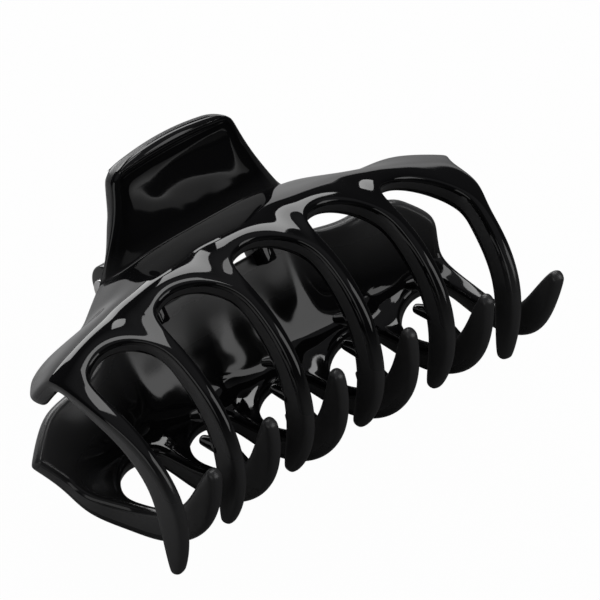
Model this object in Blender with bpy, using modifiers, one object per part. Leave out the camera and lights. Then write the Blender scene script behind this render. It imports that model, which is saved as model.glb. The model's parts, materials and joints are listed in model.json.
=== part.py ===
"""Large claw hair clip: two identical toothed jaws on one hinge pin, closed by a torsion spring.

Every piece is drawn about the hinge: +X runs along the pin, +Y points at the handles, +Z is up.
The lower jaw is the upper one turned half a turn about Y. The hinge then stands at the height
where the lower jaw lies on the floor.
"""

import math

import bmesh
import bpy
import numpy as np
from mathutils import Matrix, Vector

MM = 0.001

# Hinge
PIN_RADIUS = 1.2 * MM
FIT = 0.3 * MM
PIN_HEAD_LIP = 0.9 * MM
PIN_HEAD_LENGTH = 0.9 * MM
PIN_HEAD_CHAMFER = 0.4 * MM
LUG_WALL = 2.5 * MM
LUG_WIDTH = 3.0 * MM
LUG_GAP = 1.0 * MM
WEB_HALF_THICKNESS = 2.6 * MM
WEB_BITE = 2.6 * MM
LUG_RADIUS = PIN_RADIUS + FIT + LUG_WALL
PIN_HEAD_RADIUS = PIN_RADIUS + PIN_HEAD_LIP

# Torsion spring
WIRE_RADIUS = 0.6 * MM
COIL_PLAY = 0.9 * MM
COIL_HALF_LENGTH = 6.4 * MM
COIL_TURNS_EACH_SIDE = 3
LEG_LENGTH = 9.0 * MM
LEG_BEND = 1.3 * MM
POINTS_PER_TURN = 10
LEG_STEPS = 3
BEND_STEPS = 4
COIL_RADIUS = PIN_RADIUS + COIL_PLAY + WIRE_RADIUS

# Places of the lugs along the pin: the other jaw's pair lies mirrored, just clear of these
INNER_LUG_X = COIL_HALF_LENGTH + WIRE_RADIUS + COIL_PLAY + LUG_WIDTH / 2
OUTER_LUG_X = INNER_LUG_X + LUG_WIDTH + LUG_GAP

# Handle, measured from the hinge
LEFT_NECK_MARGIN = 5.0 * MM
RIGHT_NECK_MARGIN = 2.7 * MM
LEFT_HANDLE_TAPER = 5.9 * MM
RIGHT_HANDLE_TAPER = 6.6 * MM
NECK_BACK = 4.5 * MM
NECK_RISE = 4.2 * MM
HANDLE_REACH = 6.1 * MM
HANDLE_RISE = 22.0 * MM
HANDLE_WALL = 2.4 * MM
HANDLE_CORNER = 4.0 * MM
HANDLE_CROWN = 0.8 * MM
HANDLE_ROLL = 0.8 * MM
HANDLE_FLARE = 0.5
NECK_LEFT = -(OUTER_LUG_X + LUG_WIDTH / 2 + LEFT_NECK_MARGIN)
NECK_RIGHT = OUTER_LUG_X + LUG_WIDTH / 2 + RIGHT_NECK_MARGIN
HANDLE_LEFT = NECK_LEFT + LEFT_HANDLE_TAPER
HANDLE_RIGHT = NECK_RIGHT - RIGHT_HANDLE_TAPER

# Teeth
TEETH = 6
TOOTH_PITCH = 15.0 * MM
TOOTH_SHIFT = TOOTH_PITCH / 4
TOOTH_HALF_WIDTH = 1.2 * MM
ROOT_HALF_WIDTH = 1.4 * MM
TOOTH_DEPTH = 5.4 * MM
TIP_DEPTH = 2.2 * MM
TIP_CROSSING = 8.6 * MM
TURN_BACK = 38.3 * MM
END_TURN_DROP = 2.5 * MM
TIP_BACK = 38.6 * MM
END_TIP_DROP = 6.5 * MM
LEFT_TOOTH_SHIFT = 2.2 * MM
RIGHT_TOOTH_SHIFT = -1.6 * MM
LEFT_ROOT_INSET = 3.4 * MM
RIGHT_ROOT_INSET = 8.4 * MM
TOOTH_SWEEP = 2.2
ROOT_FLARE = 3
TIP_TAPER = 0.8
DEEPEST_ANGLE = math.radians(60)

# Jaw body
BODY_OVERHANG = 6.1 * MM
WALL = 3.0 * MM
BELLY = 17.8 * MM
BELLY_BACK = 16.6 * MM
END_BELLY = 9.2 * MM
END_BELLY_DROP = 5.5 * MM
BARREL_POWER = 2.0
SPINE_BULGE = 0.6
LEFT_CORNER_BACK = 15.8 * MM
RIGHT_CORNER_BACK = 16.3 * MM
LEFT_CORNER_RISE = 1.6 * MM
RIGHT_CORNER_RISE = 5.2 * MM
WING_WAVE = 0.16
WING_FALL = 2.5
LEFT_END_INSET = 1.8 * MM
RIGHT_ARCH_INSET = 4.6 * MM
BODY_HALF_LENGTH = (TEETH - 1) / 2 * TOOTH_PITCH + BODY_OVERHANG
CORNER_LEFT = -BODY_HALF_LENGTH + LEFT_END_INSET
CORNER_RIGHT = BODY_HALF_LENGTH

# Pegs inside the teeth, which hold the hair
PEG_LENGTH = 3.4 * MM
PEG_BASE = 1.15 * MM
PEG_TIP = 0.85 * MM
PEG_ANGLES = (math.radians(53), math.radians(70))

SUBDIVISION = 1
WELD = 0.001 * MM
SHARP_ANGLE = math.radians(40)
ROUND_SIDES = 16
PEG_SIDES = 8

# Columns of the cage: the two edges of a tooth, then three across the gap to the next tooth
TOOTH_COLUMNS = 5
GAP_SHARES = (0.12, 0.42, 0.78)
LAST_COLUMN = TOOTH_COLUMNS * (TEETH - 1) + 1
HANDLE_FIRST = TOOTH_COLUMNS + 3
HANDLE_LAST = LAST_COLUMN - TOOTH_COLUMNS - 1
CORNER_SHARES = {0: 0.25, 1: 0.08, LAST_COLUMN - 1: 0.08, LAST_COLUMN: 0.25}

# Rows of the cage, from the handle's top down to the tips of the teeth
HANDLE_SHARES = (1.0, 0.93, 0.7, 0.36)
SPINE_SHARES = (0.0, 0.36, 0.7, 1.0)
GAP_ANGLES = tuple(math.radians(degrees) for degrees in (8, 6, 12))
LEFT_EDGE_ANGLES = tuple(math.radians(degrees) for degrees in (22, 34, 48, 64, 84))
RIGHT_EDGE_ANGLES = tuple(math.radians(degrees) for degrees in (11, 28, 46, 64, 84))
TIP_SHARES = (0.5, 1.0)
NECK_ROW = len(HANDLE_SHARES)
ARCH_ROW = NECK_ROW + len(SPINE_SHARES)
TIP_ROW = ARCH_ROW + len(LEFT_EDGE_ANGLES)
LAST_ROW = TIP_ROW + len(TIP_SHARES) - 1


def tooth_x(index):
    """Centre of a tooth at its tip."""
    shift = {0: LEFT_TOOTH_SHIFT, TEETH - 1: RIGHT_TOOTH_SHIFT}.get(index, 0)
    return (index - (TEETH - 1) / 2) * TOOTH_PITCH - TOOTH_SHIFT + shift


def root_x(index):
    """Centre of a tooth where it leaves the body: the end teeth start near the corners."""
    if index == 0:
        return -BODY_HALF_LENGTH + LEFT_ROOT_INSET
    if index == TEETH - 1:
        return BODY_HALF_LENGTH - RIGHT_ROOT_INSET
    return tooth_x(index)


def barrel_share(x):
    """0 at the middle of the teeth, 1 at the ends of the body."""
    return min(abs(x + TOOTH_SHIFT) / BODY_HALF_LENGTH, 1)


def belly_at(x):
    """How far the jaw stands out at x: full in the middle and drawn in at both ends."""
    return BELLY - (BELLY - END_BELLY) * barrel_share(x) ** BARREL_POWER


def belly_level(x):
    return -BELLY_BACK - END_BELLY_DROP * barrel_share(x) ** (2 * BARREL_POWER)


def end_share(x):
    """0 at the hinge's middle, 1 at the furthest tooth, growing with the square."""
    return (x / ((TEETH - 1) / 2 * TOOTH_PITCH + TOOTH_SHIFT)) ** 2


def turn_level(x):
    return -TURN_BACK - END_TURN_DROP * end_share(x)


def tip_level(x):
    return -TIP_BACK - END_TIP_DROP * end_share(x)


def top_edge(x):
    """Level and rise of the body's upper edge: the neck, then the wing out to the corner."""
    neck, corner, back, corner_rise = NECK_RIGHT, CORNER_RIGHT, RIGHT_CORNER_BACK, RIGHT_CORNER_RISE
    if x < 0:
        neck, corner, back, corner_rise = NECK_LEFT, CORNER_LEFT, LEFT_CORNER_BACK, LEFT_CORNER_RISE
    reach = min(max(0.0, (x - neck) / (corner - neck)), 1)
    swept = reach + WING_WAVE * math.sin(2 * math.pi * reach)
    level = -NECK_BACK - (back - NECK_BACK) * swept
    return level, NECK_RISE + (corner_rise - NECK_RISE) * (1 - (1 - reach) ** WING_FALL)


def tooth_edge_x(index, side, row):
    """x of a tooth's left (-1) or right (+1) edge on a row at or below the arch."""
    left_to_go = 1 - (row - ARCH_ROW) / (LAST_ROW - ARCH_ROW)
    middle = tooth_x(index) + (root_x(index) - tooth_x(index)) * left_to_go**TOOTH_SWEEP
    half = TOOTH_HALF_WIDTH + (ROOT_HALF_WIDTH - TOOTH_HALF_WIDTH) * left_to_go**ROOT_FLARE
    return middle + side * half


def arch_columns():
    """x of every column on the arch row."""
    columns = []
    for index in range(TEETH):
        right = tooth_edge_x(index, 1, ARCH_ROW)
        columns += [tooth_edge_x(index, -1, ARCH_ROW), right]
        if index < TEETH - 1:
            across = tooth_edge_x(index + 1, -1, ARCH_ROW) - right
            columns += [right + share * across for share in GAP_SHARES]
    columns[0] = CORNER_LEFT
    columns[-1] = CORNER_RIGHT - RIGHT_ARCH_INSET
    return columns


ARCH_COLUMNS = arch_columns()


def neck_column(column):
    """x of a column on the neck row: evenly across the handle, then out to the corners."""
    marks = (0, HANDLE_FIRST, HANDLE_LAST, LAST_COLUMN)
    ends = (CORNER_LEFT, NECK_LEFT, NECK_RIGHT, CORNER_RIGHT)
    if HANDLE_FIRST <= column <= HANDLE_LAST:
        return float(np.interp(column, marks, ends))
    return float(np.interp(ARCH_COLUMNS[column], [ARCH_COLUMNS[m] for m in marks], ends))


def handle_point(row, column):
    """A point of the handle: flat, with a crowned top edge and round upper corners."""
    share = HANDLE_SHARES[row]
    length = math.hypot(HANDLE_REACH + NECK_BACK, HANDLE_RISE - NECK_RISE)
    below_top = min((1 - share) * length / HANDLE_CORNER, 1)
    corner = HANDLE_CORNER * (1 - math.sqrt(1 - (1 - below_top) ** 2))
    left = NECK_LEFT + (HANDLE_LEFT - NECK_LEFT) * share**HANDLE_FLARE + corner
    right = NECK_RIGHT + (HANDLE_RIGHT - NECK_RIGHT) * share**HANDLE_FLARE - corner
    across = (column - HANDLE_FIRST) / (HANDLE_LAST - HANDLE_FIRST)
    share -= share * HANDLE_CROWN / length * (2 * across - 1) ** 2
    level = -NECK_BACK + share * (HANDLE_REACH + NECK_BACK)
    rise = NECK_RISE + share * (HANDLE_RISE - NECK_RISE)
    return Vector((left + across * (right - left), level, rise))


def spine_point(row, column):
    """A point of the body between the neck or wing edge and the arches."""
    corner = CORNER_SHARES.get(column, 0)
    share = corner + (1 - corner) * SPINE_SHARES[row - NECK_ROW]
    x = neck_column(column) + share * (ARCH_COLUMNS[column] - neck_column(column))
    level, rise = top_edge(x)
    low, high = belly_level(x), belly_at(x)
    swell = rise + SPINE_BULGE * (high - rise)
    start, pull, end = (1 - share) ** 2, 2 * share * (1 - share), share**2
    y = start * level + pull * (low + level) / 2 + end * low
    return Vector((x, y, start * rise + pull * swell + end * high))


def tooth_wall(angle):
    """The wall deepens from the arch into the hooked part of a tooth."""
    return WALL + (TOOTH_DEPTH - WALL) * math.sin(min(angle / DEEPEST_ANGLE, 1) * math.pi / 2)


def rib_point(x, angle):
    """A point of the inner face on its quarter ellipse from the belly down to the hook's turn."""
    depth = belly_level(x) - turn_level(x)
    return Vector((x, belly_level(x) - depth * math.sin(angle), belly_at(x) * math.cos(angle)))


def cage_point(row, column):
    """Inner-face point of the jaw's cage, and the wall that stands on it."""
    index, part = divmod(column, TOOTH_COLUMNS)
    if row < NECK_ROW:
        return handle_point(row, column), HANDLE_WALL + (HANDLE_ROLL if row == 0 else 0)
    if row < ARCH_ROW:
        return spine_point(row, column), WALL
    if part > 1:
        angle = GAP_ANGLES[part - 2]
        return rib_point(ARCH_COLUMNS[column], angle), tooth_wall(angle)
    x = tooth_edge_x(index, 2 * part - 1, row)
    if row == ARCH_ROW:
        x = ARCH_COLUMNS[column]
    if row < TIP_ROW:
        angle = (RIGHT_EDGE_ANGLES if part else LEFT_EDGE_ANGLES)[row - ARCH_ROW]
        return rib_point(x, angle), tooth_wall(angle)
    share = TIP_SHARES[row - TIP_ROW]
    wall = TOOTH_DEPTH + (TIP_DEPTH - TOOTH_DEPTH) * share**TIP_TAPER
    level = turn_level(x) + share * (tip_level(x) - turn_level(x))
    return Vector((x, level, -TIP_CROSSING * share)), wall


def kept(row, column):
    """Whether the cell below and right of this cage point is part of the jaw."""
    if row < NECK_ROW:
        return HANDLE_FIRST <= column < HANDLE_LAST
    return row < ARCH_ROW or column % TOOTH_COLUMNS == 0


def principled(name, colour, roughness, metallic):
    material = bpy.data.materials.new(name)
    material.use_nodes = True
    shader = material.node_tree.nodes["Principled BSDF"]
    shader.inputs["Base Color"].default_value = (*colour, 1)
    shader.inputs["Roughness"].default_value = roughness
    shader.inputs["Metallic"].default_value = metallic
    return material


def finished(bm, name):
    """The bmesh as a mesh, shaded smooth except over sharp edges."""
    mesh = bpy.data.meshes.new(name)
    bm.to_mesh(mesh)
    bm.free()
    mesh.shade_smooth()
    mesh.set_sharp_from_angle(angle=SHARP_ANGLE)
    return mesh


def placed(name, data, collection, parent):
    obj = bpy.data.objects.new(name, data)
    collection.objects.link(obj)
    obj.parent = parent
    return obj


def cage_mesh(name):
    """The jaw's inner face: a grid with the gaps cut out, bent to shape, its wall as weights."""
    bm = bmesh.new()
    bmesh.ops.create_grid(bm, x_segments=LAST_COLUMN, y_segments=LAST_ROW, size=1)

    def cell(place):
        return (1 - place.y) / 2 * LAST_ROW, (place.x + 1) / 2 * LAST_COLUMN

    gaps = [
        face for face in bm.faces if not kept(*(int(part) for part in cell(face.calc_center_median())))
    ]
    bmesh.ops.delete(bm, geom=gaps, context="FACES")
    weights = bm.verts.layers.deform.verify()
    for vert in bm.verts:
        vert.co, wall = cage_point(*(round(part) for part in cell(vert.co)))
        vert[weights][0] = wall / TOOTH_DEPTH
    return finished(bm, name)


def bar(name, start, end, radius, tip_radius, sides):
    """A round bar, or a cone, from one point to another."""
    along = end - start
    bm = bmesh.new()
    bmesh.ops.create_cone(
        bm, cap_ends=True, segments=sides, radius1=radius, radius2=tip_radius, depth=along.length
    )
    turn = Vector((0, 0, 1)).rotation_difference(along).to_matrix().to_4x4()
    bmesh.ops.transform(bm, matrix=Matrix.Translation((start + end) / 2) @ turn, verts=bm.verts)
    return finished(bm, name)


def lug_bar(name, x, radius, half_width):
    across = Vector((half_width, 0, 0))
    middle = Vector((x, 0, 0))
    return bar(name, middle - across, middle + across, radius, radius, ROUND_SIDES)


def web_mesh(name, x):
    """The slanted block that carries a lug, from the pin's axis into the neck."""
    neck = Vector((0, -NECK_BACK, NECK_RISE))
    length = neck.length + WEB_BITE
    bm = bmesh.new()
    bmesh.ops.create_cube(bm, size=1)
    turn = Vector((0, 0, 1)).rotation_difference(neck).to_matrix().to_4x4()
    size = Matrix.Diagonal((LUG_WIDTH - 2 * FIT, 2 * WEB_HALF_THICKNESS, length, 1))
    shift = Matrix.Translation((0, 0, length / 2))
    bmesh.ops.transform(
        bm, matrix=Matrix.Translation((x, 0, 0)) @ turn @ shift @ size, verts=bm.verts
    )
    return finished(bm, name)


def peg_mesh(name, index, angle):
    """A peg from inside the tooth to a blunt tip in the hair space."""
    x = tooth_x(index)
    inner = rib_point(x, angle)
    depth = belly_level(x) - turn_level(x)
    inward = Vector((0, math.sin(angle) / depth, -math.cos(angle) / belly_at(x))).normalized()
    return bar(
        name, inner - inward * TOOTH_DEPTH / 2, inner + inward * PEG_LENGTH, PEG_BASE, PEG_TIP, PEG_SIDES
    )


def jaw_tools(name):
    """Everything that a jaw gains or loses by Booleans, in order."""
    tools = []
    for side, x in (("left", -OUTER_LUG_X), ("right", INNER_LUG_X)):
        tools += [
            (web_mesh(f"{name}_{side}_web", x), "UNION"),
            (lug_bar(f"{name}_{side}_lug", x, LUG_RADIUS, LUG_WIDTH / 2), "UNION"),
            (lug_bar(f"{name}_{side}_bore", x, PIN_RADIUS + FIT, LUG_WIDTH), "DIFFERENCE"),
        ]
    for index in range(1, TEETH - 1):
        for number, angle in enumerate(PEG_ANGLES):
            tools.append((peg_mesh(f"{name}_peg_{index}_{number}", index, angle), "UNION"))
    return tools


def make_jaw(name, hinge, parts, cutters, material):
    mesh = cage_mesh(name)
    mesh.materials.append(material)
    jaw = placed(name, mesh, parts, hinge)
    jaw.vertex_groups.new(name="wall")
    shell = jaw.modifiers.new("wall", "SOLIDIFY")
    shell.thickness = TOOTH_DEPTH
    shell.offset = 1
    shell.vertex_group = "wall"
    shell.edge_crease_inner = 1
    shell.edge_crease_outer = 1
    smooth = jaw.modifiers.new("smooth", "SUBSURF")
    smooth.levels = SUBDIVISION
    smooth.render_levels = SUBDIVISION
    for tool_mesh, operation in jaw_tools(name):
        tool = placed(tool_mesh.name, tool_mesh, cutters, jaw)
        tool.hide_render = True
        tool.display_type = "WIRE"
        modifier = jaw.modifiers.new(tool.name, "BOOLEAN")
        modifier.operation = operation
        modifier.solver = "EXACT"
        modifier.object = tool
    return jaw


def make_pin(hinge, parts, material):
    """The pin with a head at each end, turned from one profile."""
    end = OUTER_LUG_X + LUG_WIDTH / 2 + FIT
    profile = [
        (-end - PIN_HEAD_LENGTH, 0),
        (-end - PIN_HEAD_LENGTH, PIN_HEAD_RADIUS - PIN_HEAD_CHAMFER),
        (-end - PIN_HEAD_LENGTH + PIN_HEAD_CHAMFER, PIN_HEAD_RADIUS),
        (-end, PIN_HEAD_RADIUS),
        (-end, PIN_RADIUS),
    ]
    profile += [(-x, radius) for x, radius in reversed(profile)]
    bm = bmesh.new()
    points = [bm.verts.new((x, 0, radius)) for x, radius in profile]
    edges = [bm.edges.new(pair) for pair in zip(points, points[1:])]
    bmesh.ops.spin(
        bm,
        geom=points + edges,
        axis=(1, 0, 0),
        cent=(0, 0, 0),
        angle=2 * math.pi,
        steps=ROUND_SIDES,
    )
    bmesh.ops.remove_doubles(bm, verts=bm.verts, dist=WELD)
    bmesh.ops.recalc_face_normals(bm, faces=bm.faces)
    mesh = finished(bm, "hinge_pin")
    mesh.materials.append(material)
    return placed("hinge_pin", mesh, parts, hinge)


def half_spring():
    """Centre line from the middle of the coil to where a leg meets the upper handle."""
    along = Vector((0, HANDLE_REACH + NECK_BACK, HANDLE_RISE - NECK_RISE)).normalized()
    face = Vector((0, -along.z, along.y))
    turning = 2 * math.pi * COIL_TURNS_EACH_SIDE - math.atan2(face.z, face.y)
    steps = round(turning / (2 * math.pi) * POINTS_PER_TURN)
    path = []
    for step in range(steps + 1):
        angle = -turning * step / steps
        x = -COIL_HALF_LENGTH * step / steps
        path.append(Vector((x, COIL_RADIUS * math.cos(angle), COIL_RADIUS * math.sin(angle))))
    start = path[-1]
    straight = LEG_LENGTH - LEG_BEND
    path += [start + along * straight * step / LEG_STEPS for step in range(1, LEG_STEPS + 1)]
    centre = start + along * straight + face * LEG_BEND
    for step in range(1, BEND_STEPS + 1):
        angle = step / BEND_STEPS * math.pi / 2
        path.append(centre + LEG_BEND * (along * math.sin(angle) - face * math.cos(angle)))
    handle_distance = Vector((0, -NECK_BACK, NECK_RISE)).dot(face)
    path.append(start + along * LEG_LENGTH + face * (handle_distance - COIL_RADIUS - FIT))
    return path


def make_spring(hinge, parts, material):
    half = half_spring()
    half_turn = Matrix.Rotation(math.pi, 4, "Y")
    centre_line = [half_turn @ point for point in reversed(half)][:-1] + half
    curve = bpy.data.curves.new("torsion_spring", "CURVE")
    curve.dimensions = "3D"
    curve.bevel_depth = WIRE_RADIUS
    curve.bevel_resolution = 1
    curve.use_fill_caps = True
    spline = curve.splines.new("POLY")
    spline.points.add(len(centre_line) - 1)
    for point, place in zip(spline.points, centre_line):
        point.co = (*place, 1)
    curve.materials.append(material)
    points = np.array(centre_line)
    apart = np.linalg.norm(points[:, None] - points[None], axis=2)
    steps_apart = abs(np.subtract.outer(np.arange(len(points)), np.arange(len(points))))
    least = apart[steps_apart > POINTS_PER_TURN // 2].min() - 2 * WIRE_RADIUS
    print(f"torsion_spring: least gap to itself {least / MM:.2f} mm")
    return placed("torsion_spring", curve, parts, hinge)


def world_points(objects):
    """Every vertex of the finished objects, where it stands in the world."""
    bpy.context.view_layer.update()
    graph = bpy.context.evaluated_depsgraph_get()
    points = []
    for obj in objects:
        solid = obj.evaluated_get(graph)
        points.extend(solid.matrix_world @ vertex.co for vertex in solid.data.vertices)
    return points


def lying_tilt(points):
    """Angle that brings the lower handle's end and the round of the lower jaw to the floor together."""
    end = min(points, key=lambda point: point.z)
    return min(math.atan2(point.z - end.z, end.y - point.y) for point in points if point.y < 0)


def lay_down(hinge, jaws):
    """Lay the clip on the floor, with the box of both jaws centred over the origin."""
    hinge.rotation_euler.x = lying_tilt(world_points(jaws))
    points = world_points(jaws)
    low, high = np.min(points, axis=0), np.max(points, axis=0)
    hinge.location = (-(low[0] + high[0]) / 2, -(low[1] + high[1]) / 2, -low[2])
    print("hinge axis at", [round(value / MM, 3) for value in hinge.location], "mm")
    print("lying tilt", round(math.degrees(hinge.rotation_euler.x), 3), "degrees")


def main():
    for obj in list(bpy.data.objects):
        bpy.data.objects.remove(obj)
    parts = bpy.data.collections.new("claw_hair_clip")
    cutters = bpy.data.collections.new("claw_hair_clip_cutters")
    bpy.context.scene.collection.children.link(parts)
    bpy.context.scene.collection.children.link(cutters)
    black = principled("black_gloss_plastic", (0.006, 0.006, 0.007), 0.08, 0)
    steel = principled("spring_steel", (0.55, 0.56, 0.58), 0.3, 1)
    hinge = placed("hinge_axis", None, parts, None)
    upper = make_jaw("upper_jaw", hinge, parts, cutters, black)
    lower = make_jaw("lower_jaw", hinge, parts, cutters, black)
    lower.rotation_euler.y = math.pi
    make_pin(hinge, parts, steel)
    make_spring(hinge, parts, steel)
    lay_down(hinge, (upper, lower))


main()
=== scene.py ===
# %% [markdown]
# A claw hair clip, dressed for its portrait
#
# The clip is four pieces: two black plastic jaws, which are the same moulding turned half a turn, a steel
# pin and a torsion spring. Their solids are already packed as a frame, so this lesson only makes the
# surfaces: a jaw with soft moulded edges, the pegs on its teeth, the wire spring and the turned pin.
#
# Every piece is worked out about the hinge, with the clip level. A stand matrix then lays it down as the
# real clip lies: leaning a little, on the end of the lower handle and the round of the lower jaw.

# %% Load the frame
import json
import math

import bmesh
import bpy
import numpy as np
from mathutils import Matrix, Vector


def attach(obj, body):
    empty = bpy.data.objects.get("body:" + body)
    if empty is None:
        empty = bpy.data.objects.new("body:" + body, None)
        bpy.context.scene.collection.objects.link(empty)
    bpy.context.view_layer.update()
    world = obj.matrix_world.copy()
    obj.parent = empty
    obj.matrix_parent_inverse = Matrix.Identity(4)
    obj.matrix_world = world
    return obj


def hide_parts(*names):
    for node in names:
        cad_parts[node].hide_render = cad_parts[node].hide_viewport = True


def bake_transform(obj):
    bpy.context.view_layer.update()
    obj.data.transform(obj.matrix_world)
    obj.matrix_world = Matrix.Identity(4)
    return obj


MM = 0.001
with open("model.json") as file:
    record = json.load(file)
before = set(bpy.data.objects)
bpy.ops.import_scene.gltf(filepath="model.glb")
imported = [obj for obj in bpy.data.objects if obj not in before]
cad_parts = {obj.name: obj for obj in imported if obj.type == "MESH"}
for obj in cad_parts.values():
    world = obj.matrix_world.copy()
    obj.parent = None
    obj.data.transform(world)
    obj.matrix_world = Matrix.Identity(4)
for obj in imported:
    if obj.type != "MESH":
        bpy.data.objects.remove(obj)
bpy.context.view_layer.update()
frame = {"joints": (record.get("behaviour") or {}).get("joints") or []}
HINGE = Vector(frame["joints"][0]["pos_m"])
LYING_ANGLE = math.radians(6.034)
LYING_TILT = Matrix.Rotation(LYING_ANGLE, 4, "X")
STAND = Matrix.Translation(HINGE) @ LYING_TILT
print("hinge at", [round(v / MM, 2) for v in HINGE], "mm")

# %% [markdown]
# The camera stands well back with a long lens, as a product photographer's would, so the far teeth look
# hardly smaller than the near ones. One point of the clip, in the middle of the hair space, is pinned to
# the pixel where the photograph has it.

# %% Camera
PHOTO_SIDE = 600
FOCAL_PIXELS = 3600
PIXELS_PER_METRE = 6360
AIM_BEFORE_HINGE = 12.6 * MM
AIM_PIXEL = (231.5, 295.5)
SENSOR_WIDTH = 36
FARTHEST_SEEN = 20
LOOK_ALONG = Vector((0.526, 0.463, -0.712))
PICTURE_RIGHT = Vector((0.7336, -0.6707, 0.105))
view_forward = LYING_TILT @ LOOK_ALONG.normalized()
view_right = LYING_TILT @ PICTURE_RIGHT
view_right = (view_right - view_forward * view_right.dot(view_forward)).normalized()
view_up = view_right.cross(view_forward)


def add_camera():
    """A camera whose picture puts the aim point on its pixel."""
    data = bpy.data.cameras.new("portrait_camera")
    data.sensor_width = SENSOR_WIDTH
    data.lens = FOCAL_PIXELS / PHOTO_SIDE * SENSOR_WIDTH
    data.clip_end = FARTHEST_SEEN
    camera = bpy.data.objects.new("portrait_camera", data)
    bpy.context.scene.collection.objects.link(camera)
    across = (AIM_PIXEL[0] - PHOTO_SIDE / 2) / PIXELS_PER_METRE
    down = (AIM_PIXEL[1] - PHOTO_SIDE / 2) / PIXELS_PER_METRE
    aim = STAND @ Vector((0, -AIM_BEFORE_HINGE, 0))
    place = aim - view_right * across + view_up * down - view_forward * FOCAL_PIXELS / PIXELS_PER_METRE
    camera.matrix_world = Matrix.Translation(place) @ Matrix(
        (view_right, view_up, -view_forward)
    ).transposed().to_4x4()
    bpy.context.scene.camera = camera
    return camera


camera = add_camera()
print("camera", [round(v, 3) for v in camera.location], "lens", round(camera.data.lens))

# %% [markdown]
# Shader maths reads best as plain expressions. A small class wraps a node socket, and each operator adds
# the Math node that does the sum. Everything else comes from one method that adds a node of any type. A
# socket is named, or numbered where several share a name, as the results of a Mix node do.

# %% Sockets as expressions
COLOUR_RESULT = 2


class Socket:
    """A node's output that can be added, multiplied and so on with numbers and other sockets."""

    def __init__(self, recipe, output):
        self.recipe = recipe
        self.output = output

    def __add__(self, other):
        return self.recipe.maths("ADD", self, other)

    def __sub__(self, other):
        return self.recipe.maths("SUBTRACT", self, other)

    def __rsub__(self, other):
        return self.recipe.maths("SUBTRACT", other, self)

    def __mul__(self, other):
        return self.recipe.maths("MULTIPLY", self, other)

    __radd__ = __add__
    __rmul__ = __mul__


class Recipe:
    """One material or world tree, filled node by node."""

    def __init__(self, tree):
        self.tree = tree
        tree.nodes.clear()

    def node(self, kind, settings=None, output=0, **inputs):
        """Add a node, set its settings first, then fill or link its sockets by name or number."""
        made = self.tree.nodes.new(kind)
        for name, value in (settings or {}).items():
            setattr(made, name, value)
        for name, value in inputs.items():
            number = name[1:]
            socket = made.inputs[int(number) if number.isdigit() else name.replace("_", " ")]
            self.fill(socket, value)
        return Socket(self, made.outputs[output]) if made.outputs else made

    def fill(self, socket, value):
        if isinstance(value, Socket):
            self.tree.links.new(value.output, socket)
        else:
            socket.default_value = value

    def maths(self, operation, first, second):
        return self.node("ShaderNodeMath", {"operation": operation}, i0=first, i1=second)

    def noise(self, place, scale, detail=2.0):
        return self.node("ShaderNodeTexNoise", Vector=place, Scale=scale, Detail=detail)

    def relief(self, height, strength, distance):
        return self.node("ShaderNodeBump", Strength=strength, Distance=distance, Height=height)

    def ramp(self, factor, low, high):
        """A value that climbs from 0 to 1 between two values of the factor."""
        return self.node("ShaderNodeMapRange", {"clamp": True}, Value=factor, From_Min=low, From_Max=high)

    def blend(self, factor, first, second):
        """A colour between two colours or colour sockets."""
        return self.node(
            "ShaderNodeMix", {"data_type": "RGBA"}, output=COLOUR_RESULT, i0=factor, i6=first, i7=second
        )

    def tint(self, factor, dark, light):
        return self.blend(factor, (*dark, 1), (*light, 1))


def new_material(name):
    material = bpy.data.materials.new(name)
    material.use_nodes = True
    return material, Recipe(material.node_tree)


def finish_material(recipe, **inputs):
    shader = recipe.node("ShaderNodeBsdfPrincipled", **inputs)
    recipe.node("ShaderNodeOutputMaterial", Surface=shader)


print("shader helpers ready")

# %% [markdown]
# The jaws are polished black plastic. Real mouldings aren't optically flat: the wall sinks a little as it
# cools, so reflections swim, and handling leaves a faint haze. A wide, very shallow bump gives the first
# and a soft change of roughness the second. The hooked ends of the teeth have rubbed dull and grey, so the
# jaw's mesh carries a value called worn on its points, and the finish reads it. The flat flanks of the
# teeth come off the mould with a finer, duller surface, so they have a finish of their own.

# %% Plastic finishes
SINK_SCALE, SINK_STRENGTH, SINK_HEIGHT = 90.0, 0.5, 0.5 * MM
HAZE_SCALE = 160.0
HAZE_PATCH = (0.45, 0.75)
GRAIN_SCALE, GRAIN_STRENGTH, GRAIN_HEIGHT = 5200.0, 0.12, 0.05 * MM
GLOSS, HAZE_DULLS, GRAIN_DULLS, WEAR_DULLS = 0.03, 0.035, 0.015, 0.27
DEEP_BLACK, WORN_BLACK = (0.006, 0.006, 0.0065), (0.05, 0.05, 0.051)
SATIN, CLOUD_DULLS, FINE_GRAIN_DULLS = 0.3, 0.1, 0.05
SATIN_DARK, SATIN_PALE = (0.044, 0.044, 0.045), (0.056, 0.056, 0.057)


def polished_plastic():
    material, recipe = new_material("polished_black_plastic")
    place = recipe.node("ShaderNodeTexCoord", output="Object")
    haze = recipe.ramp(recipe.noise(place, HAZE_SCALE, 4.0), *HAZE_PATCH)
    sink = recipe.noise(place, SINK_SCALE, 1.0)
    grain = recipe.noise(place, GRAIN_SCALE)
    worn = recipe.node("ShaderNodeAttribute", {"attribute_name": "worn"}, output="Fac")
    finish_material(
        recipe,
        Base_Color=recipe.tint(worn, DEEP_BLACK, WORN_BLACK),
        Roughness=GLOSS + haze * HAZE_DULLS + grain * GRAIN_DULLS + worn * WEAR_DULLS,
        Normal=recipe.relief(sink, SINK_STRENGTH, SINK_HEIGHT),
    )
    return material


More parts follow.
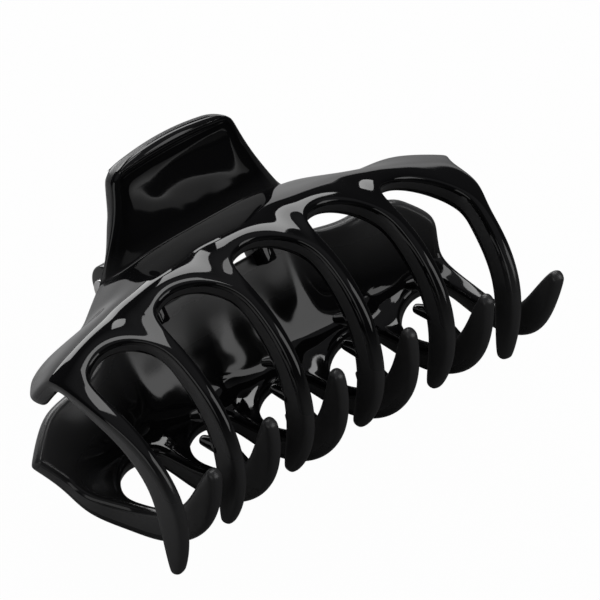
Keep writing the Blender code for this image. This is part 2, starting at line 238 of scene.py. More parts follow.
def flank_plastic():
    material, recipe = new_material("satin_black_plastic")
    place = recipe.node("ShaderNodeTexCoord", output="Object")
    cloud = recipe.noise(place, HAZE_SCALE, 3.0)
    grain = recipe.noise(place, GRAIN_SCALE)
    finish_material(
        recipe,
        Base_Color=recipe.tint(cloud, SATIN_DARK, SATIN_PALE),
        Roughness=SATIN + cloud * CLOUD_DULLS + grain * FINE_GRAIN_DULLS,
        Normal=recipe.relief(grain, GRAIN_STRENGTH, GRAIN_HEIGHT),
    )
    return material


polished = polished_plastic()
satin = flank_plastic()
print("plastic finishes:", polished.name, satin.name)

# %% [markdown]
# Pin and spring are bright drawn steel. Drawing leaves fine streaks, so a noise, stretched along the pin,
# varies the roughness. A little brown oil film settles in patches.

# %% Steel finishes
STREAK_SCALE, STREAK_STRENGTH, STREAK_HEIGHT = 900.0, 0.1, 0.03 * MM
ALONG_PIN, EVEN = (0.15, 1, 1), (1, 1, 1)
FILM_SCALE = 300.0
FILM_PATCH = (0.45, 0.8)
BRIGHT, STREAKS_DULL, FILM_DULLS = 0.2, 0.18, 0.1
PIN_COLOUR, PIN_FILM = (0.62, 0.62, 0.63), (0.5, 0.47, 0.43)
WIRE_COLOUR, WIRE_FILM = (0.55, 0.56, 0.58), (0.44, 0.42, 0.4)


def drawn_steel(name, stretch, colour, film_colour):
    material, recipe = new_material(name)
    place = recipe.node("ShaderNodeTexCoord", output="Object")
    drawn = recipe.node("ShaderNodeMapping", Vector=place, Scale=stretch)
    streaks = recipe.noise(drawn, STREAK_SCALE, 3.0)
    film = recipe.ramp(recipe.noise(place, FILM_SCALE, 3.0), *FILM_PATCH)
    finish_material(
        recipe,
        Base_Color=recipe.tint(film, colour, film_colour),
        Metallic=1.0,
        Roughness=BRIGHT + streaks * STREAKS_DULL + film * FILM_DULLS,
        Normal=recipe.relief(streaks, STREAK_STRENGTH, STREAK_HEIGHT),
    )
    return material


pin_steel = drawn_steel("turned_pin_steel", ALONG_PIN, PIN_COLOUR, PIN_FILM)
wire_steel = drawn_steel("bright_spring_wire", EVEN, WIRE_COLOUR, WIRE_FILM)
print("steel finishes:", pin_steel.name, wire_steel.name)

# %% [markdown]
# A jaw is a thin wall of plastic that swells and narrows, so it is drawn as a sheet: its inner face, with
# the wall's thickness noted on every point. Columns run along the hinge and rows run from the handle's top
# to the tips of the teeth. First come the sizes, all measured from the hinge.

# %% Sizes of a jaw
PIN_RADIUS = 1.2 * MM
FIT = 0.3 * MM
LUG_RADIUS = 4.0 * MM
LUG_WIDTH = 3.0 * MM
INNER_LUG_X = 9.4 * MM
OUTER_LUG_X = 13.4 * MM
WEB_HALF_THICKNESS = 2.6 * MM
WEB_BITE = 2.6 * MM

NECK_LEFT, NECK_RIGHT = -19.9 * MM, 17.6 * MM
HANDLE_LEFT, HANDLE_RIGHT = -14.0 * MM, 11.0 * MM
NECK_FILLET = 2.4 * MM
NECK_BACK, NECK_RISE = 4.5 * MM, 4.2 * MM
HANDLE_REACH, HANDLE_RISE = 6.1 * MM, 22.0 * MM
HANDLE_WALL = 2.4 * MM
HANDLE_CORNER = 4.0 * MM
HANDLE_CROWN = 0.8 * MM
HANDLE_ROLL = 0.8 * MM
HANDLE_FLARE = 0.5

TEETH = 6
TOOTH_PITCH = 15.0 * MM
TOOTH_SHIFT = TOOTH_PITCH / 4
TOOTH_HALF_WIDTH = 1.2 * MM
ROOT_HALF_WIDTH = 1.4 * MM
TOOTH_DEPTH = 5.4 * MM
TIP_DEPTH = 2.2 * MM
TIP_CROSSING = 8.6 * MM
TIP_TAPER = 1.5
TURN_BACK, END_TURN_DROP = 38.3 * MM, 2.5 * MM
TIP_BACK, END_TIP_DROP = 38.6 * MM, 6.5 * MM
END_TOOTH_SHIFTS = {0: 2.2 * MM, TEETH - 1: -1.6 * MM}
LEFT_ROOT, RIGHT_ROOT = -40.2 * MM, 35.2 * MM
TOOTH_SWEEP = 2.2
ROOT_FLARE = 3
DEEPEST_ANGLE = math.radians(60)

BODY_HALF_LENGTH = 43.6 * MM
CORNER_LEFT, CORNER_RIGHT = -41.8 * MM, 43.6 * MM
LEFT_CORNER_BACK, RIGHT_CORNER_BACK = 15.8 * MM, 16.3 * MM
LEFT_CORNER_RISE, RIGHT_CORNER_RISE = 1.6 * MM, 5.2 * MM
WING_WAVE, WING_FALL = 0.16, 2.5
SPINE_BULGE = 0.6
RIGHT_ARCH_INSET = 4.6 * MM
WALL = 3.0 * MM
BELLY, END_BELLY = 17.8 * MM, 9.2 * MM
BELLY_BACK, END_BELLY_DROP = 16.6 * MM, 5.5 * MM
BARREL_POWER = 2

TOOTH_COLUMNS = 5
GAP_SHARES = (0.12, 0.42, 0.78)
GAP_ANGLES = tuple(math.radians(a) for a in (8, 6, 12))
LEFT_EDGE_ANGLES = tuple(math.radians(a) for a in (22, 34, 48, 64, 84))
RIGHT_EDGE_ANGLES = tuple(math.radians(a) for a in (11, 28, 46, 64, 84))
LAST_COLUMN = TOOTH_COLUMNS * (TEETH - 1) + 1
CORNER_SHARES = {0: 0.25, 1: 0.08, LAST_COLUMN - 1: 0.08, LAST_COLUMN: 0.25}
HANDLE_FIRST = TOOTH_COLUMNS + 3
HANDLE_LAST = LAST_COLUMN - TOOTH_COLUMNS - 1
HANDLE_SHARES = (1.0, 0.955, 0.905, 0.875, 0.6)
ROLLED_ROWS = 3
RIM_SHARES = (0, 0.05, 0.085)
ROLLED_COLUMNS = 2
SPINE_SHARES = (0.0, 0.36, 0.7, 1.0)
TIP_SHARES = (0.5, 1.0)
NECK_ROW = len(HANDLE_SHARES)
ARCH_ROW = NECK_ROW + len(SPINE_SHARES)
TIP_ROW = ARCH_ROW + len(LEFT_EDGE_ANGLES)
LAST_ROW = TIP_ROW + len(TIP_SHARES) - 1
print("jaw sheet:", LAST_COLUMN, "by", LAST_ROW, "cells")

# %% [markdown]
# The body bulges like a barrel: each cross-section is part of an ellipse whose height falls off towards
# both ends. These short functions give that barrel, the edge where the wings end, and where a tooth
# runs. The same rules shaped the solids, so the fine surface lies on them.


# %% Rules of the barrel and the teeth
def tooth_x(index):
    """Centre of a tooth at its tip."""
    middle = (index - (TEETH - 1) / 2) * TOOTH_PITCH - TOOTH_SHIFT
    return middle + END_TOOTH_SHIFTS.get(index, 0)


def root_x(index):
    """Centre of a tooth where it leaves the body."""
    return {0: LEFT_ROOT, TEETH - 1: RIGHT_ROOT}.get(index, tooth_x(index))


def barrel_share(x):
    return min(abs(x + TOOTH_SHIFT) / BODY_HALF_LENGTH, 1)


def belly_at(x):
    return BELLY - (BELLY - END_BELLY) * barrel_share(x) ** BARREL_POWER


def belly_level(x):
    return -BELLY_BACK - END_BELLY_DROP * barrel_share(x) ** (2 * BARREL_POWER)


def end_share(x):
    return (x / ((TEETH - 1) / 2 * TOOTH_PITCH + TOOTH_SHIFT)) ** 2


def turn_level(x):
    return -TURN_BACK - END_TURN_DROP * end_share(x)


def tip_level(x):
    return -TIP_BACK - END_TIP_DROP * end_share(x)


def top_edge(x):
    """Level and rise of the neck and, beyond it, of the wing's edge."""
    neck, corner, back, corner_rise = NECK_RIGHT, CORNER_RIGHT, RIGHT_CORNER_BACK, RIGHT_CORNER_RISE
    if x < 0:
        neck, corner, back, corner_rise = NECK_LEFT, CORNER_LEFT, LEFT_CORNER_BACK, LEFT_CORNER_RISE
    reach = min(max(0.0, (x - neck) / (corner - neck)), 1)
    swept = reach + WING_WAVE * math.sin(2 * math.pi * reach)
    level = -NECK_BACK - (back - NECK_BACK) * swept
    return level, NECK_RISE + (corner_rise - NECK_RISE) * (1 - (1 - reach) ** WING_FALL)


def tooth_edge_x(index, side, row):
    left_to_go = 1 - (row - ARCH_ROW) / (LAST_ROW - ARCH_ROW)
    middle = tooth_x(index) + (root_x(index) - tooth_x(index)) * left_to_go**TOOTH_SWEEP
    half = TOOTH_HALF_WIDTH + (ROOT_HALF_WIDTH - TOOTH_HALF_WIDTH) * left_to_go**ROOT_FLARE
    return middle + side * half


def arch_columns():
    columns = []
    for index in range(TEETH):
        right = tooth_edge_x(index, 1, ARCH_ROW)
        columns += [tooth_edge_x(index, -1, ARCH_ROW), right]
        if index < TEETH - 1:
            across = tooth_edge_x(index + 1, -1, ARCH_ROW) - right
            columns += [right + share * across for share in GAP_SHARES]
    columns[0] = CORNER_LEFT
    columns[-1] = CORNER_RIGHT - RIGHT_ARCH_INSET
    return columns


ARCH_COLUMNS = arch_columns()


def neck_column(column):
    marks = (0, HANDLE_FIRST, HANDLE_LAST, LAST_COLUMN)
    ends = (CORNER_LEFT, NECK_LEFT, NECK_RIGHT, CORNER_RIGHT)
    if HANDLE_FIRST <= column <= HANDLE_LAST:
        return float(np.interp(column, marks, ends))
    return float(np.interp(ARCH_COLUMNS[column], [ARCH_COLUMNS[m] for m in marks], ends))


print("teeth at", [round(tooth_x(i) / MM, 1) for i in range(TEETH)], "mm")

# %% [markdown]
# Now every point of the sheet has a place. The handle is flat with round corners and a rolled rim, the
# spine swings from the neck out to the belly, and the teeth follow the barrel down and hook under.


# %% Points of the sheet
def handle_across(column):
    """Share of the handle's width: close together at the rims, even between them."""
    columns = HANDLE_LAST - HANDLE_FIRST
    marks = [*range(len(RIM_SHARES)), *range(columns + 1 - len(RIM_SHARES), columns + 1)]
    shares = [*RIM_SHARES, *(1 - share for share in reversed(RIM_SHARES))]
    return float(np.interp(column - HANDLE_FIRST, marks, shares))


def handle_point(row, column):
    share = HANDLE_SHARES[row]
    length = math.hypot(HANDLE_REACH + NECK_BACK, HANDLE_RISE - NECK_RISE)
    below_top = min((1 - share) * length / HANDLE_CORNER, 1)
    corner = HANDLE_CORNER * (1 - math.sqrt(1 - (1 - below_top) ** 2))
    left = NECK_LEFT + (HANDLE_LEFT - NECK_LEFT) * share**HANDLE_FLARE + corner
    right = NECK_RIGHT + (HANDLE_RIGHT - NECK_RIGHT) * share**HANDLE_FLARE - corner
    across = handle_across(column)
    share -= share * HANDLE_CROWN / length * (2 * across - 1) ** 2
    level = -NECK_BACK + share * (HANDLE_REACH + NECK_BACK)
    rise = NECK_RISE + share * (HANDLE_RISE - NECK_RISE)
    return Vector((left + across * (right - left), level, rise))


def handle_wall(row, column):
    """The rim of the handle is rolled up along its top and sides."""
    from_side = min(column - HANDLE_FIRST, HANDLE_LAST - column)
    rolled = row < ROLLED_ROWS or from_side < ROLLED_COLUMNS
    return HANDLE_WALL + (HANDLE_ROLL if rolled else 0)


def spine_point(row, column):
    share = SPINE_SHARES[row - NECK_ROW]
    corner = CORNER_SHARES.get(column, 0)
    share = corner + (1 - corner) * share
    x = neck_column(column) + share * (ARCH_COLUMNS[column] - neck_column(column))
    level, rise = top_edge(x)
    low = belly_level(x)
    start, pull, end = (1 - share) ** 2, 2 * share * (1 - share), share**2
    y = start * level + pull * (low + level) / 2 + end * low
    swell = rise + SPINE_BULGE * (belly_at(x) - rise)
    return Vector((x, y, start * rise + pull * swell + end * belly_at(x)))


def spine_wall(row, x):
    """A fillet thickens the foot of the handle, most in the middle of the neck and not at its ends."""
    off_middle = (2 * x - NECK_LEFT - NECK_RIGHT) / (NECK_RIGHT - NECK_LEFT)
    fade = (1 - SPINE_SHARES[row - NECK_ROW]) ** 2
    return WALL + NECK_FILLET * fade * max(1 - off_middle**4, 0)


def tooth_wall(angle):
    """A rib is as thin as the body at its root and full deep where it turns under."""
    return WALL + (TOOTH_DEPTH - WALL) * math.sin(min(angle / DEEPEST_ANGLE, 1) * math.pi / 2)


def rib_point(x, angle):
    depth = belly_level(x) - turn_level(x)
    return Vector((x, belly_level(x) - depth * math.sin(angle), belly_at(x) * math.cos(angle)))


def sheet_point(row, column):
    """A point of the inner face, and the wall that stands on it."""
    index, part = divmod(column, TOOTH_COLUMNS)
    if row < NECK_ROW:
        return handle_point(row, column), handle_wall(row, column)
    if row < ARCH_ROW:
        point = spine_point(row, column)
        return point, spine_wall(row, point.x)
    if part > 1:
        angle = GAP_ANGLES[part - 2]
        return rib_point(ARCH_COLUMNS[column], angle), tooth_wall(angle)
    x = tooth_edge_x(index, 2 * part - 1, row)
    if row == ARCH_ROW:
        x = ARCH_COLUMNS[column]
    if row < TIP_ROW:
        angle = (RIGHT_EDGE_ANGLES if part else LEFT_EDGE_ANGLES)[row - ARCH_ROW]
        return rib_point(x, angle), tooth_wall(angle)
    share = TIP_SHARES[row - TIP_ROW]
    wall = TOOTH_DEPTH + (TIP_DEPTH - TOOTH_DEPTH) * share**TIP_TAPER
    level = turn_level(x) + share * (tip_level(x) - turn_level(x))
    return Vector((x, level, -TIP_CROSSING * share)), wall


def kept(row, column):
    """Whether the cell below and right of this point is plastic, and not a gap."""
    if row < NECK_ROW:
        return HANDLE_FIRST <= column < HANDLE_LAST
    return row < ARCH_ROW or column % TOOTH_COLUMNS == 0


def to_mesh(bm, name):
    mesh = bpy.data.meshes.new(name)
    bm.to_mesh(mesh)
    bm.free()
    return mesh


def sheet_mesh():
    bm = bmesh.new()
    bmesh.ops.create_grid(bm, x_segments=LAST_COLUMN, y_segments=LAST_ROW, size=1)

    def cell(place):
        return (1 - place.y) / 2 * LAST_ROW, (place.x + 1) / 2 * LAST_COLUMN

    gaps = [f for f in bm.faces if not kept(*(int(part) for part in cell(f.calc_center_median())))]
    bmesh.ops.delete(bm, geom=gaps, context="FACES")
    weights = bm.verts.layers.deform.verify()
    for vert in bm.verts:
        vert.co, wall = sheet_point(*(round(part) for part in cell(vert.co)))
        vert[weights][0] = wall / TOOTH_DEPTH
    return to_mesh(bm, "jaw_sheet")


print("handle's top at", [round(v / MM, 1) for v in sheet_point(0, HANDLE_FIRST)[0]], "mm from the hinge")

# %% [markdown]
# The sheet becomes a jaw in three steps. Solidify raises the wall and gives its rim the satin finish,
# Bevel rounds the rim on the coarse sheet, and Subdivision Surface turns the whole into one flowing skin.
# Bevel comes before the subdivision, because then the roll of the edge is part of the flowing surface and
# the gloss runs over it without a break. Last, each point is told how worn it is: not at all on the body,
# fully on the hooks.

# %% Jaws
EDGE_ROLL = 0.95 * MM
EDGE_ANGLE = math.radians(62)
EDGE_SEGMENTS = 2
SKIN_LEVELS = 3
SHARP_ANGLE = math.radians(42)
WORN_ABOVE = 12 * MM
WORN_BELOW = 5 * MM
HALF_TURN = Matrix.Rotation(math.pi, 4, "Y")
PLACES = {"upper_jaw": STAND, "lower_jaw": STAND @ HALF_TURN}


def mark_wear(mesh):
    """Write on every point how worn it is, from its height over the hinge."""
    points = np.zeros(len(mesh.vertices) * 3)
    mesh.vertices.foreach_get("co", points)
    worn = np.clip((WORN_ABOVE - points[2::3]) / (WORN_ABOVE - WORN_BELOW), 0, 1)
    mesh.attributes.new("worn", "FLOAT", "POINT").data.foreach_set("value", worn)


def jaw_mesh():
    """One jaw about its hinge, as a plain mesh."""
    sheet = sheet_mesh()
    for material in (polished, satin):
        sheet.materials.append(material)
    jaw = bpy.data.objects.new("jaw_in_the_making", sheet)
    bpy.context.scene.collection.objects.link(jaw)
    jaw.vertex_groups.new(name="wall")
    shell = jaw.modifiers.new("wall", "SOLIDIFY")
    shell.thickness = TOOTH_DEPTH
    shell.offset = 1
    shell.vertex_group = "wall"
    shell.material_offset_rim = 1
    roll = jaw.modifiers.new("edge_roll", "BEVEL")
    roll.width = EDGE_ROLL
    roll.segments = EDGE_SEGMENTS
    roll.limit_method = "ANGLE"
    roll.angle_limit = EDGE_ANGLE
    roll.use_clamp_overlap = False
    roll.material = 0
    skin = jaw.modifiers.new("skin", "SUBSURF")
    skin.levels = skin.render_levels = SKIN_LEVELS
    graph = bpy.context.evaluated_depsgraph_get()
    made = bpy.data.meshes.new_from_object(jaw.evaluated_get(graph))
    bpy.data.objects.remove(jaw)
    made.shade_smooth()
    mark_wear(made)
    return made


def show(name, mesh, matrix):
    """Put a mesh in the scene with its place in its points."""
    mesh = mesh.copy()
    mesh.name = name
    mesh.transform(matrix)
    piece = bpy.data.objects.new(name, mesh)
    bpy.context.scene.collection.objects.link(piece)
    return piece


moulding = jaw_mesh()
for body, place in PLACES.items():
    jaw = show(f"{body}_moulding", moulding, place)
    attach(jaw, body)
    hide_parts(body)
print("jaw moulding:", len(moulding.polygons), "faces")

# %% [markdown]
# Each jaw turns on two lugs. A lug is a ring round the pin, and a slanted web carries it from the neck.
# A bored cylinder would do for the ring, but spinning its section gives the bore and the rounded edges in
# one go. The web is a plain block with its edges broken.

# %% Lugs and webs
LUG_SOFTNESS = 0.4 * MM
TURNED_STEPS = 48
WELD = 0.001 * MM


def turned(profile, name):
    """Spin a closed or open profile of (x, radius) points about the hinge."""
    bm = bmesh.new()
    points = [bm.verts.new((x, 0, radius)) for x, radius in profile]
    edges = [bm.edges.new(pair) for pair in zip(points, points[1:])]
    bmesh.ops.spin(
        bm, geom=points + edges, axis=(1, 0, 0), cent=(0, 0, 0), angle=2 * math.pi, steps=TURNED_STEPS
    )
    bmesh.ops.remove_doubles(bm, verts=bm.verts, dist=WELD)
    bmesh.ops.recalc_face_normals(bm, faces=bm.faces)
    mesh = to_mesh(bm, name)
    mesh.shade_smooth()
    mesh.set_sharp_from_angle(angle=SHARP_ANGLE)
    return mesh


def rounded_corner(corner, into_x, into_radius, size, steps=4):
    """Points of a quarter circle that rounds the corner of a turned profile."""
    x, radius = corner
    arc = []
    for step in range(steps + 1):
        angle = step / steps * math.pi / 2
        along = into_x * size * (1 - math.sin(angle))
        across = into_radius * size * (1 - math.cos(angle))
        arc.append((x + along, radius + across))
    return arc


def lug_mesh(x):
    low, high = x - LUG_WIDTH / 2, x + LUG_WIDTH / 2
    bore = PIN_RADIUS + FIT
    left = rounded_corner((low, LUG_RADIUS), 1, -1, LUG_SOFTNESS)
    right = rounded_corner((high, LUG_RADIUS), -1, -1, LUG_SOFTNESS)
    return turned([(high, bore), (low, bore)] + left[::-1] + right + [(high, bore)], "lug")


def web_mesh(x):
    """The slanted block from the lug into the neck."""
    neck = Vector((0, -NECK_BACK, NECK_RISE))
    start = (PIN_RADIUS + FIT + LUG_RADIUS) / 2
    length = neck.length + WEB_BITE - start
    bm = bmesh.new()
    bmesh.ops.create_cube(bm, size=1)
    size = Matrix.Diagonal((LUG_WIDTH - 2 * FIT, 2 * WEB_HALF_THICKNESS, length, 1))
    turn = Vector((0, 0, 1)).rotation_difference(neck).to_matrix().to_4x4()
    place = Matrix.Translation((x, 0, 0)) @ turn @ Matrix.Translation((0, 0, start + length / 2)) @ size
    bmesh.ops.transform(bm, matrix=place, verts=bm.verts)
    bmesh.ops.bevel(bm, geom=bm.edges[:], offset=LUG_SOFTNESS, segments=2, profile=0.5, affect="EDGES")
    mesh = to_mesh(bm, "web")
    mesh.shade_smooth()
    mesh.set_sharp_from_angle(angle=SHARP_ANGLE)
    return mesh


for body, place in PLACES.items():
    for side, lug_x in (("outer", -OUTER_LUG_X), ("inner", INNER_LUG_X)):
        for kind, mesh in (("lug", lug_mesh(lug_x)), ("web", web_mesh(lug_x))):
            mesh.materials.append(polished)
            piece = show(f"{body}_{side}_{kind}", mesh, place)
            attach(piece, body)
print("two lugs on each jaw")

# %% [markdown]
# Short pegs on the inside of the middle teeth keep the hair from sliding. They repeat, so Geometry Nodes
# make them: one round-nosed peg is set on every point of a small cloud, turned to the direction that the
# point carries, then realised into a plain mesh.

# %% Pegs
PEG_LENGTH = 3.4 * MM
PEG_ROOT = 1.2 * MM
PEG_BASE = 1.45 * MM
PEG_TIP = 0.8 * MM
PEG_ANGLES = (math.radians(53), math.radians(70))
PEG_SIDES, PEG_RINGS, PEG_NOSE_RINGS = 20, 5, 3


def peg_cloud():
    """Points where pegs start, each with the direction its peg takes."""
    places, leans = [], []
    for index in range(1, TEETH - 1):
        for angle in PEG_ANGLES:
            x = tooth_x(index)
            depth = belly_level(x) - turn_level(x)
            lean = Vector((0, math.sin(angle) / depth, -math.cos(angle) / belly_at(x))).normalized()
            places.append(rib_point(x, angle) - lean * PEG_ROOT)
            leans.extend(lean)
    mesh = bpy.data.meshes.new("peg_cloud")
    mesh.from_pydata(places, [], [])
    mesh.attributes.new("lean", "FLOAT_VECTOR", "POINT").data.foreach_set("vector", leans)
    return mesh


class Grower:
    """A Geometry Nodes tree with named inputs, filled node by node."""

    def __init__(self, name, **inputs):
        self.tree = bpy.data.node_groups.new(name, "GeometryNodeTree")
        for label, kind in inputs.items():
            self.tree.interface.new_socket(label, in_out="INPUT", socket_type=f"NodeSocket{kind}")
        self.tree.interface.new_socket("Piece", in_out="OUTPUT", socket_type="NodeSocketGeometry")
        self.given = self.tree.nodes.new("NodeGroupInput").outputs

    def node(self, kind, settings=None, output=0, **inputs):
        """Add a node, with its settings, and fill or link its sockets by name."""
        made = self.tree.nodes.new(kind)
        for name, value in (settings or {}).items():
            setattr(made, name, value)
        for name, value in inputs.items():
            socket = made.inputs[name.replace("_", " ")]
            if isinstance(value, bpy.types.NodeSocket):
                self.tree.links.new(value, socket)
            else:
                socket.default_value = value
        return made.outputs[output]

    def finish(self, geometry):
        """Realise, smooth and colour the geometry, and hand it out."""
        plain = self.node("GeometryNodeRealizeInstances", Geometry=geometry)
        smooth = self.node("GeometryNodeSetShadeSmooth", Geometry=plain)
        coloured = self.node("GeometryNodeSetMaterial", Geometry=smooth, Material=self.given["Finish"])
        out = self.tree.nodes.new("NodeGroupOutput")
        self.tree.links.new(coloured, out.inputs["Piece"])
        return self.tree


def peg_tree():
    """A round-nosed peg on every point, along its lean."""
    sizes = dict.fromkeys(("Length", "Base", "Tip"), "Float")
    grower = Grower("pegs_on_points", Points="Geometry", **sizes, Finish="Material")
    cone = grower.node(
        "GeometryNodeMeshCone",
        Vertices=PEG_SIDES,
        Side_Segments=PEG_RINGS,
        Fill_Segments=PEG_NOSE_RINGS,
        Depth=grower.given["Length"],
        Radius_Bottom=grower.given["Base"],
        Radius_Top=grower.given["Tip"],
    )
    peg = grower.node("GeometryNodeSubdivisionSurface", Mesh=cone, Level=1)
    lean = grower.node("GeometryNodeInputNamedAttribute", {"data_type": "FLOAT_VECTOR"}, Name="lean")
    turn = grower.node("FunctionNodeAlignRotationToVector", {"axis": "Z"}, Vector=lean)
    return grower.finish(
        grower.node(
            "GeometryNodeInstanceOnPoints", Points=grower.given["Points"], Instance=peg, Rotation=turn
        )
    )


def grown(start, tree, **values):
    """Run a Geometry Nodes tree on a mesh or curve and keep the plain mesh."""
    maker = bpy.data.objects.new("maker", start)
    bpy.context.scene.collection.objects.link(maker)
    modifier = maker.modifiers.new("growth", "NODES")
    modifier.node_group = tree
    for item in tree.interface.items_tree:
        if item.in_out == "INPUT" and item.name in values:
            modifier[item.identifier] = values[item.name]
    graph = bpy.context.evaluated_depsgraph_get()
    made = bpy.data.meshes.new_from_object(maker.evaluated_get(graph))
    bpy.data.objects.remove(maker)
    return made


pegs = grown(
    peg_cloud(), peg_tree(), Length=PEG_LENGTH + PEG_ROOT, Base=PEG_BASE, Tip=PEG_TIP, Finish=polished
)
for body, place in PLACES.items():
    peg_rows = show(f"{body}_pegs", pegs, place)
    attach(peg_rows, body)
print("pegs per jaw:", (TEETH - 2) * len(PEG_ANGLES), "with", len(pegs.polygons), "faces")

# %% [markdown]
# The spring is one wire: a coil round the pin, then a leg up each handle that turns square into its inner
# face. Half of it is worked out and the other half is the same half turned about the clip's long middle
# line. When the clip opens, the coil winds up.

# %% Torsion spring
WIRE_RADIUS = 0.6 * MM
COIL_RADIUS = 2.7 * MM
COIL_HALF_LENGTH = 6.4 * MM
COIL_TURNS_EACH_SIDE = 3
LEG_LENGTH = 9.0 * MM
LEG_BEND = 1.3 * MM
POINTS_PER_TURN = 32
LEG_STEPS = 4
BEND_STEPS = 8
WIRE_SIDES = 14


def half_spring():
    """Centre line from the middle of the coil to the inner face of the upper handle."""
    along = Vector((0, HANDLE_REACH + NECK_BACK, HANDLE_RISE - NECK_RISE)).normalized()
    face = Vector((0, -along.z, along.y))
    turning = 2 * math.pi * COIL_TURNS_EACH_SIDE - math.atan2(face.z, face.y)
    steps = round(turning / (2 * math.pi) * POINTS_PER_TURN)
    path = []
    for step in range(steps + 1):
        angle = -turning * step / steps
        x = -COIL_HALF_LENGTH * step / steps
        path.append(Vector((x, COIL_RADIUS * math.cos(angle), COIL_RADIUS * math.sin(angle))))
    start = path[-1]
    straight = LEG_LENGTH - LEG_BEND
    path += [start + along * straight * step / LEG_STEPS for step in range(1, LEG_STEPS + 1)]
    centre = start + along * straight + face * LEG_BEND
    for step in range(1, BEND_STEPS + 1):
        angle = step / BEND_STEPS * math.pi / 2
        path.append(centre + LEG_BEND * (along * math.sin(angle) - face * math.cos(angle)))
    handle_distance = Vector((0, -NECK_BACK, NECK_RISE)).dot(face)
    path.append(start + along * LEG_LENGTH + face * (handle_distance - COIL_RADIUS - FIT))
    return path


def wire_tree():
    """A round wire along the path."""
    grower = Grower("wire_on_path", Path="Geometry", Radius="Float", Finish="Material")
    radius = grower.given["Radius"]
    section = grower.node("GeometryNodeCurvePrimitiveCircle", Resolution=WIRE_SIDES, Radius=radius)
    return grower.finish(
        grower.node(
            "GeometryNodeCurveToMesh", Curve=grower.given["Path"], Profile_Curve=section, Fill_Caps=True
        )
    )


def wire_path(points):
    """A curve straight from point to point, for the tree to follow."""
    curve = bpy.data.curves.new("spring_path", "CURVE")
    curve.dimensions = "3D"
    spline = curve.splines.new("POLY")
    spline.points.add(len(points) - 1)
    for point, place in zip(spline.points, points):
        point.co = (*place, 1)
    return curve


half = half_spring()
whole = [HALF_TURN @ point for point in reversed(half)][:-1] + half
wire = grown(wire_path(whole), wire_tree(), Radius=WIRE_RADIUS, Finish=wire_steel)
wire.set_sharp_from_angle(angle=SHARP_ANGLE)
spring = show("torsion_spring_wire", wire, STAND)
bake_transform(spring)
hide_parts("torsion_spring")
print("spring wire:", len(wire.polygons), "faces")

# %% [markdown]
# The pin is a plain turned piece, with a softened head at each end that keeps it in the lugs. Its profile
# is spun about the hinge, by the same helper that made the lugs.

# %% Hinge pin
PIN_HEAD_RADIUS = 2.1 * MM
PIN_HEAD_LENGTH = 0.9 * MM
HEAD_ROUND = 0.35 * MM


def pin_mesh():
    end = OUTER_LUG_X + LUG_WIDTH / 2 + FIT
    outer = end + PIN_HEAD_LENGTH
    half = [(outer, 0)] + rounded_corner((outer, PIN_HEAD_RADIUS), -1, -1, HEAD_ROUND)[::-1]
    half += [(end, PIN_HEAD_RADIUS), (end, PIN_RADIUS)]
    mesh = turned(half + [(-x, radius) for x, radius in reversed(half)], "turned_pin")
    mesh.materials.append(pin_steel)
    return mesh


pin = show("hinge_pin_turned", pin_mesh(), STAND)
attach(pin, "lower_jaw")
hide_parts("hinge_pin")
print("pin:", len(pin.data.polygons), "faces")

# %% [markdown]
# Black gloss shows nothing but reflections, so the lights are shapes to be mirrored: five panels behind,
# above, in front and at the left, each where it puts a bright patch on a shoulder, a rib or the handle. The
# plastic mirrors the floor too, so the floor is a card that is pale behind the clip and dark before it. The
# camera alone sees floor and sky as white paper, with a faint shadow. An even white world would be simpler,
# but black gloss would mirror it all over and turn grey.

# %% Floor and lights
FLOOR_SIDE = 6.0
CARD_SLANT = 0.4
CARD_EDGE = (-0.02, 0.06)
CARD_DARK, CARD_PALE = (0.12, 0.12, 0.12), (0.9, 0.9, 0.9)
PAPER, WHITE = (0.92, 0.92, 0.92, 1), (1, 1, 1, 1)
PAPER_GLOW = 0.98
SKY_BAND = (0.62, 0.8)
SKY_DARK, SKY_PALE = (0.02, 0.02, 0.021), (0.15, 0.15, 0.157)


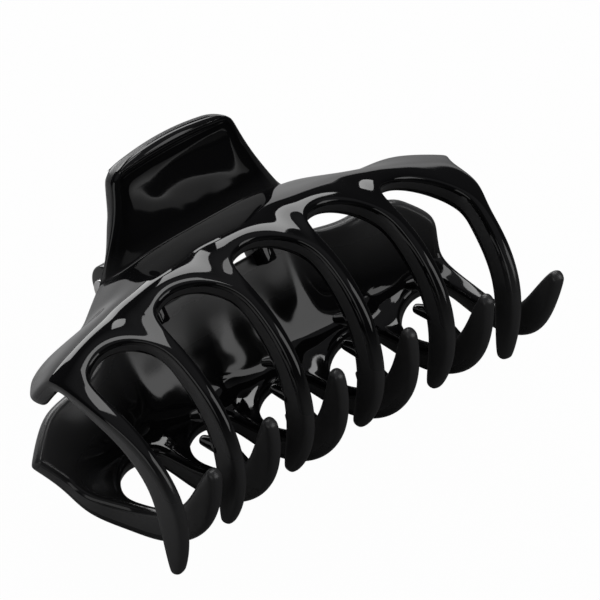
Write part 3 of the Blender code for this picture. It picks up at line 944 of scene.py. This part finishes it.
def white_floor():
    material, recipe = new_material("white_paper")
    seen = recipe.node("ShaderNodeLightPath", output="Is Camera Ray")
    place = recipe.node("ShaderNodeTexCoord", output="Object")
    across = recipe.node("ShaderNodeSeparateXYZ", output="X", Vector=place)
    depth = recipe.node("ShaderNodeSeparateXYZ", output="Y", Vector=place)
    shade = recipe.tint(recipe.ramp(depth - across * CARD_SLANT, *CARD_EDGE), CARD_DARK, CARD_PALE)
    card = recipe.node("ShaderNodeBsdfDiffuse", Color=shade)
    paper = recipe.node("ShaderNodeBsdfDiffuse", Color=PAPER)
    glow = recipe.node("ShaderNodeEmission", Color=WHITE, Strength=1.0)
    white = recipe.node("ShaderNodeMixShader", i0=PAPER_GLOW, i1=paper, i2=glow)
    mixed = recipe.node("ShaderNodeMixShader", i0=seen, i1=card, i2=white)
    recipe.node("ShaderNodeOutputMaterial", Surface=mixed)
    return material


def add_floor():
    bm = bmesh.new()
    bmesh.ops.create_grid(bm, x_segments=1, y_segments=1, size=FLOOR_SIDE / 2)
    floor = bpy.data.objects.new("paper_floor", to_mesh(bm, "paper_floor"))
    floor.data.materials.append(white_floor())
    bpy.context.scene.collection.objects.link(floor)
    return floor


def add_panel(name, place, width, height, watts):
    """A rectangular lamp that faces the hinge, from a place measured from it."""
    data = bpy.data.lights.new(name, "AREA")
    data.shape = "RECTANGLE"
    data.size = width
    data.size_y = height
    data.energy = watts
    lamp = bpy.data.objects.new(name, data)
    bpy.context.scene.collection.objects.link(lamp)
    lamp.location = HINGE + Vector(place)
    lamp.rotation_euler = Vector(place).to_track_quat("Z", "Y").to_euler()
    return lamp


def add_world():
    world = bpy.data.worlds.new("studio")
    world.use_nodes = True
    bpy.context.scene.world = world
    recipe = Recipe(world.node_tree)
    direction = recipe.node("ShaderNodeTexCoord", output="Generated")
    up = recipe.node("ShaderNodeSeparateXYZ", output="Z", Vector=direction)
    sky = recipe.tint(recipe.ramp(up, *SKY_BAND), SKY_DARK, SKY_PALE)
    seen = recipe.node("ShaderNodeLightPath", output="Is Camera Ray")
    background = recipe.node("ShaderNodeBackground", Color=recipe.blend(seen, sky, WHITE), Strength=1.0)
    recipe.node("ShaderNodeOutputWorld", Surface=background)


add_floor()
add_panel("key_panel", (0.442, 0.527, 0.5), width=0.46, height=0.3, watts=1.7)
add_panel("back_panel", (0.163, 0.765, 0.166), width=0.4, height=0.3, watts=1.3)
add_panel("overhead_panel", (0.052, 0.194, 0.618), width=0.36, height=0.2, watts=0.7)
add_panel("left_fill", (-0.75, -0.2, 0.25), width=0.6, height=0.4, watts=0.55)
add_panel("front_panel", (0.379, -0.631, 0.425), width=0.42, height=0.56, watts=1.3)
add_world()
bpy.context.scene.view_settings.view_transform = "Standard"
print("stage:", FLOOR_SIDE, "m of floor under five panels")
